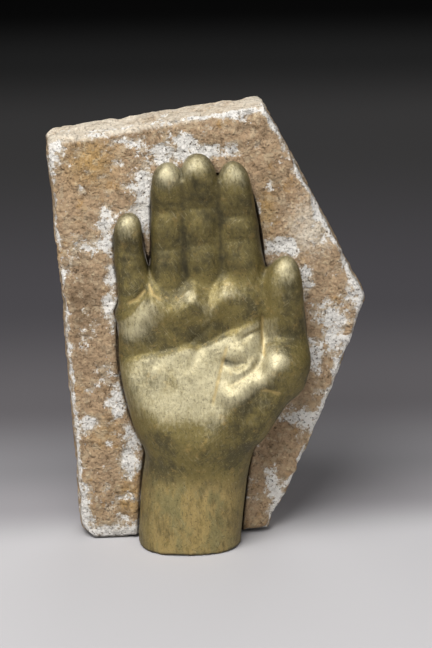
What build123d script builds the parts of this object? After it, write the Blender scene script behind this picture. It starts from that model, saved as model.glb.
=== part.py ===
from build123d import *
import os
from dataclasses import dataclass, replace
from math import cos, pi, sin

# A life-size right hand, cored at the wrist and bedded in a pocket of a five-sided plaster slab.
# All lengths are in millimetres. While the pieces are modelled, x runs from the pinky side to the
# thumb side with 0 on the wrist's axis, y runs back into the slab with 0 on its front face,
# and z is the height above the table. A "front" is a distance before the slab's face, and a
# "reach" is a distance from the wrist's axis.

# Wrist, from its flat cut end up to the narrow neck below the palm
WRIST_LEFT_REACH = 31.8
WRIST_RIGHT_REACH = 30.4
WRIST_FRONT = 30.4
WRIST_FLARE = 0.9
NECK_HEIGHT = 57.0
NECK_LEFT_REACH = 27.3
NECK_RIGHT_REACH = 37.2
NECK_FRONT = 31.2

# Palm before its hollow is pressed in: heights of its heel, its fullest part and its top, drops from the
# top to its upper half and to the pads, rise to the webs between the fingers, and reaches and fronts
HEEL_HEIGHT = 76.0
HEEL_LEFT_REACH = 34.2
HEEL_RIGHT_REACH = 45.0
HEEL_FRONT = 35.8
FULL_HEIGHT = 100.0
FULL_LEFT_REACH = 39.6
FULL_RIGHT_REACH = 50.0
FULL_FRONT = 35.4
UPPER_DROP = 38.0
UPPER_FRONT = 30.0
PAD_DROP = 11.0
PAD_FRONT = 21.5
PALM_HEIGHT = 168.0
WEB_RISE = 4.0
WEB_INSET = 3.0
WEB_FRONT = 12.0
PINKY_SIDE_REACH = 43.0
PALM_FLARE = 2.4
SIDE_DIP = 1.0
SIDE_FRONT = 4.0
CORNER_SHARE = 0.15
CORNER_FRONT_SHARE = 0.81

# Hollow of the palm, pressed in along its long crease: the crease's drop from the palm's top and its slant
# in degrees, the front and height of the ledge below it, and the ramps down to the heel and up to the pads
CREASE_DROP = 37.0
CREASE_SLANT = 16.5
LEDGE_FRONT = 19.2
LEDGE_HEIGHT = 2.4
LEDGE_STEP = 2.2
HEEL_RAMP = 58.0
HEEL_RAMP_FRONT = 37.8
PAD_RAMP = 34.0
PAD_RAMP_FRONT = 23.4

# How deep the back of the hand lies in the slab: at the palm, at the wrist and at the webs
PALM_SINK = 12.0
WRIST_SINK = 10.0
WEB_SINK = 7.0

# Ball of the thumb, a slanting swell from the heel up to the thumb's root: its width, how far its
# middle stands before the slab, and how far its foot lies below the thumb and towards the wrist
BALL_WIDTH = 31.0
BALL_FRONT = 15.2
BALL_INSET = 1.6
BALL_RUN = 22.3
BALL_RISE = 37.7

# Fingers: widths at the root and at the tip pad, lengths above the palm, and leans to the thumb side
PINKY_WIDTH = 19.8
PINKY_TIP_WIDTH = 16.2
PINKY_LENGTH = 42.3
PINKY_LEAN = -4.5
RING_WIDTH = 21.4
RING_TIP_WIDTH = 17.0
RING_LENGTH = 72.4
RING_LEAN = -0.5
MIDDLE_WIDTH = 21.2
MIDDLE_TIP_WIDTH = 20.4
MIDDLE_LENGTH = 77.3
MIDDLE_LEAN = -3.0
INDEX_WIDTH = 26.0
INDEX_TIP_WIDTH = 18.2
INDEX_LENGTH = 72.0
INDEX_LEAN = -5.4
FINGER_ROOT_DEPTH = 20.0
FINGER_AXIS_FRONT = 3.0
FINGER_CURL = 3.2
FINGER_PRESS = 1.4

# Thumb, pressed against the side of the palm
THUMB_WIDTH = 28.0
THUMB_TIP_WIDTH = 21.4
THUMB_HEIGHT = 118.0
THUMB_LENGTH = 64.4
THUMB_LEAN = -1.5
THUMB_CURL = 2.5
THUMB_ROOT_DEPTH = 14.0
THUMB_AXIS_FRONT = 8.0
THUMB_PRESS = 2.4

# Every finger: how domed its tip is, where its joints and middle pad sit along it, how far a joint
# pinches, and how thin its buried end is
TIP_DOME = 1.45
FIRST_JOINT = 0.36
MIDDLE_PAD = 0.58
LAST_JOINT = 0.80
JOINT_PINCH = 0.35
BURIED_SHARE = 0.55

# Core hole, left open at the wrist's cut end: the wall round it, its depth, draft and corners
CORE_WALL = 10.0
CORE_DEPTH = 105.0
CORE_DRAFT = 1.0
CORE_RADIUS = 7.0

# Slab: its margins round the hand, its thickness and its worn edges
SLAB_THICKNESS = 32.0
LEFT_FOOT_WIDTH = 34.6
RIGHT_FOOT_WIDTH = 19.2
LEFT_MARGIN = 42.2
SHOULDER_RISE = 8.4
PEAK_RISE = 27.2
NOSE_MARGIN = 39.8
NOSE_DROP = 32.0
SHOULDER_RADIUS = 9.0
CORNER_RADIUS = 5.0
FRONT_WEAR_RADIUS = 4.4
BACK_WEAR_RADIUS = 2.5

# Bedding: the gap between the hand and its pocket, its own slack on each side, and where it stops
POCKET_GAP = 1.5
BED_SLACK = 0.2
BED_RECESS = 2.5
BED_FLOOR_GAP = 3.0


@dataclass
class Station:
    """One level cross-section of the wrist and palm.

    left and right are reaches. front is how far its middle stands before the slab's face, and back is
    how deep it lies behind it.
    """

    height: float
    left: float
    right: float
    front: float
    back: float

    def face(self, grow: float) -> Face:
        """The section as a flat face inside four smooth curves, with every side moved out by grow."""
        x_left = -self.left - grow
        x_right = self.right + grow
        width = x_right - x_left
        corner_front = SIDE_FRONT + CORNER_FRONT_SHARE * (self.front + grow - SIDE_FRONT)
        left_side = (x_left, -SIDE_FRONT)
        front = (x_left + width / 2, -self.front - grow)
        right_side = (x_right, -SIDE_FRONT)
        back = (x_left + width / 2, self.back + grow)
        left_corner = (x_left + CORNER_SHARE * width, -corner_front)
        right_corner = (x_right - CORNER_SHARE * width, -corner_front)
        outline = [
            Spline(left_side, left_corner, front, tangents=((0, -1), (1, 0))),
            Spline(front, right_corner, right_side, tangents=((1, 0), (0, 1))),
            Spline(right_side, back, tangents=((0, 1), (-1, 0))),
            Spline(back, left_side, tangents=((-1, 0), (0, -1))),
        ]
        return Pos(0, 0, self.height) * make_face(outline)


palm_right = PINKY_WIDTH + RING_WIDTH + MIDDLE_WIDTH + INDEX_WIDTH - PINKY_SIDE_REACH
thumb_x = palm_right + THUMB_WIDTH / 2 - THUMB_PRESS

wrist_cut = Station(0.0, WRIST_LEFT_REACH, WRIST_RIGHT_REACH, WRIST_FRONT, WRIST_SINK)
forearm = Station(
    height=NECK_HEIGHT / 2,
    left=(WRIST_LEFT_REACH + NECK_LEFT_REACH) / 2 + WRIST_FLARE,
    right=(WRIST_RIGHT_REACH + NECK_RIGHT_REACH) / 2,
    front=WRIST_FRONT,
    back=WRIST_SINK,
)
neck = Station(NECK_HEIGHT, NECK_LEFT_REACH, NECK_RIGHT_REACH, NECK_FRONT, WRIST_SINK)
heel = Station(HEEL_HEIGHT, HEEL_LEFT_REACH, HEEL_RIGHT_REACH, HEEL_FRONT, (WRIST_SINK + PALM_SINK) / 2)
full = Station(FULL_HEIGHT, FULL_LEFT_REACH, FULL_RIGHT_REACH, FULL_FRONT, PALM_SINK)
upper = Station(
    height=PALM_HEIGHT - UPPER_DROP,
    left=PINKY_SIDE_REACH - SIDE_DIP,
    right=palm_right + PALM_FLARE,
    front=UPPER_FRONT,
    back=PALM_SINK,
)
pads = Station(PALM_HEIGHT - PAD_DROP, PINKY_SIDE_REACH, palm_right, PAD_FRONT, WRIST_SINK)
webs = Station(
    height=PALM_HEIGHT + WEB_RISE,
    left=PINKY_SIDE_REACH - WEB_INSET,
    right=palm_right - WEB_INSET,
    front=WEB_FRONT,
    back=WEB_SINK,
)

# The wrist runs on below the table, where it is cut off flat, so that its sides meet the cut straight.
SECTIONS = [
    replace(wrist_cut, height=-NECK_HEIGHT),
    replace(wrist_cut, height=-NECK_HEIGHT / 2),
    wrist_cut,
    forearm,
    neck,
    heel,
    full,
    upper,
    pads,
    webs,
]


def digit(width: float, tip_width: float, length: float, root_depth: float, grow: float) -> Part:
    """A finger along z with its root at z = 0: swelling pads, pinched joints and a domed tip."""
    root = width / 2 + grow
    tip = tip_width / 2 + grow
    taper = tip - root
    top = length + grow
    dome = TIP_DOME * tip
    shoulder = top - dome
    buried = BURIED_SHARE * root
    side = Spline(
        (buried, -root_depth),
        (root, 0.0),
        (root + taper * FIRST_JOINT - JOINT_PINCH, FIRST_JOINT * shoulder),
        (root + taper * MIDDLE_PAD, MIDDLE_PAD * shoulder),
        (root + taper * LAST_JOINT - JOINT_PINCH, LAST_JOINT * shoulder),
        (tip, shoulder),
        tangents=((0.5, 1.0), (0.0, 1.0)),
    )
    end = Spline(
        (tip, shoulder),
        (tip * cos(pi / 6), shoulder + dome * sin(pi / 6)),
        (tip * cos(pi / 3), shoulder + dome * sin(pi / 3)),
        (0.0, top),
        tangents=((0.0, 1.0), (-1.0, 0.0)),
    )
    axis = Line((0.0, top), (0.0, -root_depth))
    root_end = Line((0.0, -root_depth), (buried, -root_depth))
    return revolve(Plane.XZ * make_face([axis, root_end, side, end]), Axis.Z)


def palm_hollow(grow: float) -> Part:
    """The space before the palm: its ramp up from the heel, the ledge along the crease and the pads' ramp."""
    reach = 2 * (PINKY_SIDE_REACH + palm_right)
    clear = 2 * HEEL_FRONT
    profile = Polyline(
        (-HEEL_RAMP, HEEL_RAMP_FRONT + grow),
        (-LEDGE_HEIGHT / 2, LEDGE_FRONT + grow),
        (LEDGE_HEIGHT / 2, LEDGE_FRONT - LEDGE_STEP + grow),
        (PAD_RAMP, PAD_RAMP_FRONT + grow),
        (PAD_RAMP, clear),
        (-HEEL_RAMP, clear),
        close=True,
    )
    along = Vector(1, 0, 0).rotate(Axis.Y, -CREASE_SLANT)
    up = Vector(0, 0, 1).rotate(Axis.Y, -CREASE_SLANT)
    plane = Plane(origin=(0, 0, PALM_HEIGHT - CREASE_DROP), x_dir=up, z_dir=along)
    return extrude(plane * make_face(profile), reach / 2, both=True)


def ball(grow: float) -> Part:
    """The ball of the thumb: a slanting capsule from the heel of the palm up to the thumb's root."""
    radius = BALL_WIDTH / 2 + grow
    top = Vector(thumb_x - BALL_INSET, -BALL_FRONT, THUMB_HEIGHT)
    foot = top - Vector(BALL_RUN, 0, BALL_RISE)
    run = (top - foot).length
    outline = [
        Line((0.0, run + radius), (0.0, -radius)),
        RadiusArc((0.0, -radius), (radius, 0.0), -radius),
        Line((radius, 0.0), (radius, run)),
        RadiusArc((radius, run), (0.0, run + radius), -radius),
    ]
    return Plane(origin=foot, z_dir=top - foot) * revolve(Plane.XZ * make_face(outline), Axis.Z)


def hand_form(grow: float) -> Part:
    """The whole hand as a solid, without its core hole, every surface moved out by grow."""
    palm = loft([section.face(grow) for section in SECTIONS])
    palm = split(palm, Plane.XY, keep=Keep.TOP) - palm_hollow(grow)
    fingers = [
        (PINKY_WIDTH, PINKY_TIP_WIDTH, PINKY_LENGTH, PINKY_LEAN),
        (RING_WIDTH, RING_TIP_WIDTH, RING_LENGTH, RING_LEAN),
        (MIDDLE_WIDTH, MIDDLE_TIP_WIDTH, MIDDLE_LENGTH, MIDDLE_LEAN),
        (INDEX_WIDTH, INDEX_TIP_WIDTH, INDEX_LENGTH, INDEX_LEAN),
    ]
    digits = []
    edge = -PINKY_SIDE_REACH
    for width, tip_width, length, lean in fingers:
        place = Pos(edge + width / 2, -FINGER_AXIS_FRONT, PALM_HEIGHT) * Rot(FINGER_CURL, lean, 0)
        digits.append(place * digit(width + FINGER_PRESS, tip_width, length, FINGER_ROOT_DEPTH, grow))
        edge += width
    thumb_place = Pos(thumb_x, -THUMB_AXIS_FRONT, THUMB_HEIGHT) * Rot(THUMB_CURL, THUMB_LEAN, 0)
    thumb = thumb_place * digit(THUMB_WIDTH, THUMB_TIP_WIDTH, THUMB_LENGTH, THUMB_ROOT_DEPTH, grow)
    return palm.fuse(*digits, ball(grow), thumb)


def core_hole() -> Part:
    """The drafted hole that the core leaves up the middle of the wrist."""
    width = WRIST_LEFT_REACH + WRIST_RIGHT_REACH - 2 * CORE_WALL
    depth = WRIST_FRONT + WRIST_SINK - 2 * CORE_WALL
    centre = ((WRIST_RIGHT_REACH - WRIST_LEFT_REACH) / 2, (WRIST_SINK - WRIST_FRONT) / 2)
    mouth = Pos(*centre) * RectangleRounded(width, depth, CORE_RADIUS)
    return extrude(mouth, CORE_DEPTH, taper=CORE_DRAFT)


def slab_block() -> Part:
    """The five-sided slab before its pocket is cut, with worn corners and edges."""
    tip_height = PALM_HEIGHT + MIDDLE_LENGTH
    thumb_tip_height = THUMB_HEIGHT + THUMB_LENGTH
    outline = FilletPolyline(
        (-WRIST_LEFT_REACH - LEFT_FOOT_WIDTH, 0.0),
        (-PINKY_SIDE_REACH - LEFT_MARGIN, tip_height + SHOULDER_RISE),
        (palm_right, tip_height + PEAK_RISE),
        (thumb_x + THUMB_WIDTH / 2 + NOSE_MARGIN, thumb_tip_height - NOSE_DROP),
        (WRIST_RIGHT_REACH + RIGHT_FOOT_WIDTH, 0.0),
        radius=[CORNER_RADIUS, SHOULDER_RADIUS, CORNER_RADIUS, CORNER_RADIUS, CORNER_RADIUS],
        close=True,
    )
    block = extrude(Plane.XZ * make_face(outline), -SLAB_THICKNESS)
    block = fillet(block.edges().group_by(Axis.Y)[0], FRONT_WEAR_RADIUS)
    return fillet(block.edges().group_by(Axis.Y)[-1], BACK_WEAR_RADIUS)


def bedding() -> Part:
    """The one bed between hand and pocket, kept back from the slab's face and clear of the table."""
    filling = hand_form(POCKET_GAP - BED_SLACK)
    reach = filling.bounding_box()
    height = reach.max.Z - BED_FLOOR_GAP
    room_place = Pos(reach.center().X, BED_RECESS + SLAB_THICKNESS / 2, BED_FLOOR_GAP + height / 2)
    room = room_place * Box(reach.size.X, SLAB_THICKNESS, height)
    bed = (filling & room) - hand_form(BED_SLACK)
    return bed.solids().sort_by(SortBy.VOLUME)[-1]


def main() -> None:
    """Builds the three pieces, stands them on their shared origin and writes one file for each."""
    pieces = {
        "backing_slab": slab_block() - hand_form(POCKET_GAP),
        "cast_hand": hand_form(0.0) - core_hole(),
        "plaster_bed": bedding(),
    }
    whole = Compound([piece.solid() for piece in pieces.values()]).bounding_box()
    origin = Vector(whole.center().X, whole.center().Y, whole.min.Z)
    os.makedirs("parts", exist_ok=True)
    for name, piece in pieces.items():
        export_step(Pos(-origin) * piece, f"parts/{name}.step")
    print(f"origin moved from x {origin.X:.3f}, y {origin.Y:.3f}, z {origin.Z:.3f}")
    print(f"overall {whole.size.X:.1f} x {whole.size.Y:.1f} x {whole.size.Z:.1f}")


main()
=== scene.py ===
"""Looks of a hand sculpture: a bronze-toned right hand bedded in a flaking five-sided slab.

Shapes are worked out in millimetres with x = 0 on the wrist's axis, y = 0 on the slab's front face
(y grows into the slab) and z = 0 on the table, and are put into the frame's metres at the end.
"""

import logging
import math
from dataclasses import dataclass
from enum import Enum
from typing import Any, Sequence

import bpy
import numpy as np
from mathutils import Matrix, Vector


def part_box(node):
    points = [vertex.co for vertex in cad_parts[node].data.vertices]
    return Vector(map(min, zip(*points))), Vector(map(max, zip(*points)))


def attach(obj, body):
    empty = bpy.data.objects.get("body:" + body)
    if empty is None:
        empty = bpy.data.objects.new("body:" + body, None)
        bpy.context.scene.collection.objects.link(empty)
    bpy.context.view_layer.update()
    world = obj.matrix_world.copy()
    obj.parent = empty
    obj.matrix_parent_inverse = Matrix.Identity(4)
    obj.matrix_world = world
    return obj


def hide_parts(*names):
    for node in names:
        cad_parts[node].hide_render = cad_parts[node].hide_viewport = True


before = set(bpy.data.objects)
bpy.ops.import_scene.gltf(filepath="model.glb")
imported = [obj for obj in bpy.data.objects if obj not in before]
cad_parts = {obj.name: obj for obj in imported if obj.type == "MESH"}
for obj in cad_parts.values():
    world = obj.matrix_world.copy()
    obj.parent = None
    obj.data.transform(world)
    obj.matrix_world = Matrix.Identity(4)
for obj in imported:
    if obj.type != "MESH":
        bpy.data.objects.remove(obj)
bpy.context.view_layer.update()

log = logging.getLogger("hand_sculpture")

Array = np.ndarray
Point2 = tuple[float, float]
Point3 = tuple[float, float, float]
Stations = Sequence[Point2]
Tree = bpy.types.NodeTree
Socket = bpy.types.NodeSocket
Object = bpy.types.Object
MM = 0.001
QUARTER_TURN = 0.5 * math.pi


# Numbers and curves


def smoothstep(value: Array, low: float | Array, high: float | Array) -> Array:
    """Share from 0 at low to 1 at high, with level ends: 3t^2 - 2t^3."""
    share = np.clip((value - low) / (high - low), 0.0, 1.0)
    return share * share * (3.0 - 2.0 * share)


def curve_through(at: Array, stations: Stations) -> Array:
    """Smooth curve through stations, level beyond both ends.

    Between two stations it is the cubic whose slope at each of them is the mean of the chords beside it.

    Args:
        at: where the curve is wanted.
        stations: (place, value) pairs with rising places.

    Returns:
        The curve's values, in the shape of at.
    """
    place, value = np.asarray(stations, dtype=float).T
    chord = np.diff(value) / np.diff(place)
    slope = np.concatenate([chord[:1], 0.5 * (chord[:-1] + chord[1:]), chord[-1:]])
    at = np.clip(at, place[0], place[-1])
    left = np.clip(np.searchsorted(place, at, side="right") - 1, 0, len(place) - 2)
    span = place[left + 1] - place[left]
    t = (at - place[left]) / span
    rise = t * t * (3.0 - 2.0 * t)
    start_bend = span * slope[left] * t * (1.0 - t) ** 2
    end_bend = span * slope[left + 1] * t * t * (t - 1.0)
    return value[left] * (1.0 - rise) + value[left + 1] * rise + start_bend + end_bend


def join(first: Array, second: Array, fillet: float) -> Array:
    """Union of two distance fields: the lesser one, lowered by fillet * h * (1 - h) where they meet."""
    share = np.clip(0.5 + 0.5 * (second - first) / fillet, 0.0, 1.0)
    return second + (first - second) * share - fillet * share * (1.0 - share)


def cut(body: Array, tool: Array, fillet: float) -> Array:
    """The body without the tool, both as distance fields, with a rounded rim."""
    return -join(-body, tool, fillet)


def along_line(x: Array, z: Array, line: Stations) -> tuple[Array, Array]:
    """Where points lie beside an open line of straight runs.

    Each point is dropped square onto every run, and the nearest foot is kept.

    Args:
        x, z: places in mm.
        line: the line's points.

    Returns:
        Distance from the line, and the share of the line's length at the foot.
    """
    points = np.asarray(line, dtype=float)
    runs = np.diff(points, axis=0)
    lengths = np.hypot(runs[:, 0], runs[:, 1])
    starts = np.concatenate([[0.0], np.cumsum(lengths)[:-1]])
    nearest = np.full(np.broadcast(x, z).shape, np.inf)
    share = np.zeros_like(nearest)
    for start, run, length, before in zip(points, runs, lengths, starts):
        dx, dz = x - start[0], z - start[1]
        foot = np.clip((dx * run[0] + dz * run[1]) / length**2, 0.0, 1.0)
        gap = np.hypot(dx - foot * run[0], dz - foot * run[1])
        closer = gap < nearest
        nearest = np.where(closer, gap, nearest)
        share = np.where(closer, (before + foot * length) / lengths.sum(), share)
    return nearest, share


@dataclass(frozen=True)
class Patch:
    """A bell-shaped patch seen from the front: its centre and reach in mm, and its strength or height."""

    centre: Point2
    reach: Point2
    strength: float = 1.0

    def share(self, x: Array, z: Array) -> Array:
        """The patch at places in mm: its strength times exp(-(dx/rx)^2 - (dz/rz)^2)."""
        dx, dz = (x - self.centre[0]) / self.reach[0], (z - self.centre[1]) / self.reach[1]
        return self.strength * np.exp(-(dx**2) - dz**2)


def strongest(patches: Sequence[Patch], x: Array, z: Array) -> Array:
    """The greatest share of any of the patches, at places in mm."""
    return np.max([patch.share(x, z) for patch in patches], axis=0)


@dataclass(frozen=True)
class GrainNoise:
    """Smooth random field: random values on a cubic lattice, blended between its corners."""

    seed: int
    size: int = 32
    shift: float = 0.37

    def sample(self, x: Array, y: Array, z: Array, spacing: float) -> Array:
        """One layer of the field.

        Args:
            x, y, z: places in mm.
            spacing: the length that the values change over, in mm.

        Returns:
            Values from -1 to 1.
        """
        table = np.random.default_rng(self.seed).uniform(-1.0, 1.0, (self.size,) * 3)
        places = [np.asarray(axis) / spacing + self.shift * self.seed for axis in (x, y, z)]
        low = [np.floor(place).astype(int) for place in places]
        share = [place - base for place, base in zip(places, low)]
        share = [part * part * (3.0 - 2.0 * part) for part in share]
        total = 0.0
        for corner in np.ndindex(2, 2, 2):
            index = tuple((base + step) % self.size for base, step in zip(low, corner))
            weight = 1.0
            for part, step in zip(share, corner):
                weight = weight * (part if step else 1.0 - part)
            total = total + weight * table[index]
        return total

    def layered(self, x: Array, y: Array, z: Array, spacing: float, layers: int) -> Array:
        """Sum of layers, each at half the spacing and half the height of the one before."""
        heights = [0.5**layer for layer in range(layers)]
        total = sum(height * self.sample(x, y, z, spacing * height) for height in heights)
        return total / sum(heights)


# Surfaces


@dataclass(frozen=True)
class Lattice:
    """A box of evenly spaced points that a distance field is sampled on, in mm."""

    low: Point3
    high: Point3
    step: float

    def axes(self) -> list[Array]:
        """The three axes, shaped so that they spread over the lattice when they are combined."""
        counts = [int(math.ceil((high - low) / self.step)) + 1 for low, high in zip(self.low, self.high)]
        lines = [low + self.step * np.arange(count) for low, count in zip(self.low, counts)]
        shapes = ((-1, 1, 1), (1, -1, 1), (1, 1, -1))
        return [line.reshape(shape) for line, shape in zip(lines, shapes)]

    def surface(self, values: Array) -> tuple[Array, Array]:
        """Quad mesh of the surface where the field is zero.

        Every cell that the surface crosses gets one vertex, at the mean of the crossings on its twelve
        edges, and every lattice edge that it crosses gets one quad between the four cells round it.

        Args:
            values: the field on the lattice, below zero inside.

        Returns:
            Vertices in mm, and quads that face outwards.
        """
        cells = tuple(count - 1 for count in values.shape)
        corners = list(np.ndindex(2, 2, 2))
        views = [values[tuple(slice(c, c + n) for c, n in zip(corner, cells))] for corner in corners]
        below = sum((view < 0).astype(np.int8) for view in views)
        active = (below > 0) & (below < len(corners))
        samples = np.stack([view[active] for view in views], axis=1)
        total = np.zeros((len(samples), 3))
        crossings = np.zeros(len(samples))
        for a, first in enumerate(corners):
            for b, second in enumerate(corners):
                if b > a and sum(abs(p - q) for p, q in zip(first, second)) == 1:
                    start, end = samples[:, a], samples[:, b]
                    crossed = (start < 0) != (end < 0)
                    share = np.where(crossed, start / np.where(crossed, start - end, 1.0), 0.0)
                    point = np.array(first) + share[:, None] * (np.array(second) - np.array(first))
                    total += crossed[:, None] * point
                    crossings += crossed
        vertices = np.array(self.low) + self.step * (np.argwhere(active) + total / crossings[:, None])
        number = np.full(cells, -1)
        number[active] = np.arange(len(vertices))
        return vertices, np.concatenate([self._quads(values, number, axis) for axis in range(3)])

    @staticmethod
    def _quads(values: Array, number: Array, axis: int) -> Array:
        """Quads round the lattice edges along one axis that the surface crosses.

        Args:
            values: the field on the lattice.
            number: the vertex of each cell, or -1.
            axis: 0, 1 or 2.

        Returns:
            Four vertex numbers a quad, turned to face outwards.
        """
        order = [axis, (axis + 1) % 3, (axis + 2) % 3]
        field = values.transpose(order)
        cells = number.transpose(order)
        start, end = field[:-1, 1:-1, 1:-1] < 0, field[1:, 1:-1, 1:-1] < 0
        i, j, k = np.nonzero(start != end)
        ring = [cells[i, j + dj, k + dk] for dj, dk in ((0, 0), (1, 0), (1, 1), (0, 1))]
        quads = np.stack(ring, axis=1)
        inward = end[i, j, k]
        quads[inward] = quads[inward][:, ::-1]
        return quads


@dataclass(frozen=True)
class Datum:
    """Where the modelling frame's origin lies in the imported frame, read from the slab's box."""

    slab_left_reach: float = 84.6

    def place(self, points: Array) -> Array:
        """Points in mm about the wrist's axis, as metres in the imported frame."""
        low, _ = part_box("backing_slab")
        origin = np.array([low.x + self.slab_left_reach * MM, low.y, low.z])
        return points * MM + origin


# Materials


def linear(code: str) -> tuple[float, float, float, float]:
    """Linear colour of an sRGB hex code."""
    channels = [int(code[k : k + 2], 16) / 255.0 for k in (1, 3, 5)]
    red, green, blue = (c / 12.92 if c <= 0.04045 else ((c + 0.055) / 1.055) ** 2.4 for c in channels)
    return red, green, blue, 1.0


def add_node(tree: Tree, kind: str, inputs: dict[Any, Any] | None = None, **settings: Any) -> bpy.types.Node:
    """Adds a shader node with its settings and links.

    Args:
        tree: the material's node tree.
        kind: the node's type without its ShaderNode prefix.
        inputs: by name or number, a socket to link from or a value to set.
        settings: properties of the node.

    Returns:
        The node.
    """
    node = tree.nodes.new("ShaderNode" + kind)
    for key, value in settings.items():
        setattr(node, key, value)
    for key, value in (inputs or {}).items():
        if isinstance(value, Socket):
            tree.links.new(value, node.inputs[key])
        else:
            node.inputs[key].default_value = value
    return node


class Field(Enum):
    """Values that the pieces carry at their vertices for their finishes, each from 0 to 1."""

    # Pale share: rubbed wear and painted highlight on the hand, dust on the slab
    PALE_AND_HIGHLIGHT = "pale_and_highlight"
    # Dark share: dirt, and painted shade in folds, gaps, between digits and along the feet
    SHADE_AND_DIRT = "shade_and_dirt"
    GOLD = "gold"
    # Brushed streaks on the wrist, with a painted highlight down its middle
    BRUSHED_AND_HIGHLIT = "brushed_and_highlit"
    BARE = "bare"
    SOIL = "soil"
    OCHRE = "ochre"
    RUN = "run"

    def socket(self, tree: Tree) -> Socket:
        """Reads the field from the piece."""
        return add_node(tree, "Attribute", attribute_name=self.value).outputs["Fac"]


@dataclass(frozen=True)
class Grain:
    """A random pattern: its features' size in mm, its detail, and how far a leaning run draws it out."""

    size: float
    detail: float = 4.0
    stretch: float = 1.0
    lean: float = 0.0
    roughness: float = 0.68

    def socket(self, tree: Tree) -> Socket:
        """Lays the pattern out, turned by the lean in degrees and squeezed along the run.

        Args:
            tree: the material's node tree.

        Returns:
            The pattern's socket, about 0.5 on average.
        """
        turn = {"Rotation": (0.0, math.radians(self.lean), 0.0)}
        turn["Vector"] = add_node(tree, "TexCoord").outputs["Object"]
        squeeze = {"Scale": (1.0, 1.0, 1.0 / self.stretch)}
        squeeze["Vector"] = add_node(tree, "Mapping", turn).outputs[0]
        noise = {"Scale": 1.0 / (self.size * MM), "Detail": self.detail, "Roughness": self.roughness}
        noise["Vector"] = add_node(tree, "Mapping", squeeze).outputs[0]
        return add_node(tree, "TexNoise", noise).outputs["Fac"]


@dataclass(frozen=True)
class Flakes:
    """Ragged flakes about size mm across: one random tone each, or domed, falling from crown to rim."""

    size: float
    domed: bool = False
    rim: float = 0.7
    crown: float = 0.1

    def socket(self, tree: Tree) -> Socket:
        """Lays the flakes out on coordinates that a noise of their own size has pushed about.

        Args:
            tree: the material's node tree.

        Returns:
            The socket of the tones or of the heights.
        """
        place = add_node(tree, "TexCoord").outputs["Object"]
        scale = 1.0 / (self.size * MM)
        push = add_node(tree, "TexNoise", {"Vector": place, "Scale": scale, "Detail": 3.0, "Roughness": 0.7})
        shift = {0: push.outputs["Color"], 1: (self.size * MM,) * 3, 2: place}
        pushed = add_node(tree, "VectorMath", shift, operation="MULTIPLY_ADD").outputs[0]
        cells = add_node(tree, "TexVoronoi", {"Vector": pushed, "Scale": scale})
        if not self.domed:
            return cells.outputs["Color"]
        fall = {"Value": cells.outputs["Distance"], "From Min": self.rim, "From Max": self.crown}
        return add_node(tree, "MapRange", fall).outputs[0]


Source = Field | Grain | Flakes
Layers = tuple[tuple[Source, float], ...]


@dataclass(frozen=True)
class Tint:
    """A colour laid over what lies under it, in step with a field or pattern between two of its values.

    Frays are patterns, each with the height that it adds to the source, which break up the tint's edge.
    """

    colour: str
    source: Source
    low: float = 0.0
    high: float = 1.0
    most: float = 1.0
    frays: Layers = ()
    within: Field | None = None

    def lay(self, tree: Tree, under: Any) -> Socket:
        """Lays the tint over a colour.

        Args:
            tree: the material's node tree.
            under: the colour under it, as a socket or a linear colour.

        Returns:
            The colour's socket.
        """
        share = self.source.socket(tree)
        for pattern, height in self.frays:
            sums = {0: pattern.socket(tree), 1: height, 2: share}
            share = add_node(tree, "Math", sums, operation="MULTIPLY_ADD").outputs[0]
        middle = 0.5 * sum(height for _, height in self.frays)
        span = {"From Min": self.low + middle, "From Max": self.high + middle, "To Max": self.most}
        span["Value"] = share
        share = add_node(tree, "MapRange", span, interpolation_type="SMOOTHSTEP").outputs[0]
        if self.within is not None:
            masked = {0: share, 1: self.within.socket(tree)}
            share = add_node(tree, "Math", masked, operation="MULTIPLY").outputs[0]
        layers = {0: share, 6: under, 7: linear(self.colour)}
        return add_node(tree, "Mix", layers, data_type="RGBA").outputs[2]


@dataclass(frozen=True)
class Finish:
    """A finish on one real material: tints from the ground up, and fine reliefs with their depths in mm."""

    name: str
    ground: str
    tints: tuple[Tint, ...]
    reliefs: Layers = ()
    metallic: float = 0.0
    roughness: float = 0.9
    specular: float = 0.2

    def material(self) -> bpy.types.Material:
        """Builds the finish's material."""
        material = bpy.data.materials.new(self.name)
        material.use_nodes = True
        tree = material.node_tree
        shader = tree.nodes["Principled BSDF"]
        colour: Any = linear(self.ground)
        for tint in self.tints:
            colour = tint.lay(tree, colour)
        tree.links.new(colour, shader.inputs["Base Color"])
        normal = add_node(tree, "NewGeometry").outputs["Normal"]
        for pattern, depth in self.reliefs:
            bump = {"Height": pattern.socket(tree), "Distance": depth * MM, "Normal": normal}
            normal = add_node(tree, "Bump", bump).outputs[0]
        tree.links.new(normal, shader.inputs["Normal"])
        shader.inputs["Metallic"].default_value = self.metallic
        shader.inputs["Roughness"].default_value = self.roughness
        shader.inputs["Specular IOR Level"].default_value = self.specular
        return material


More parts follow.
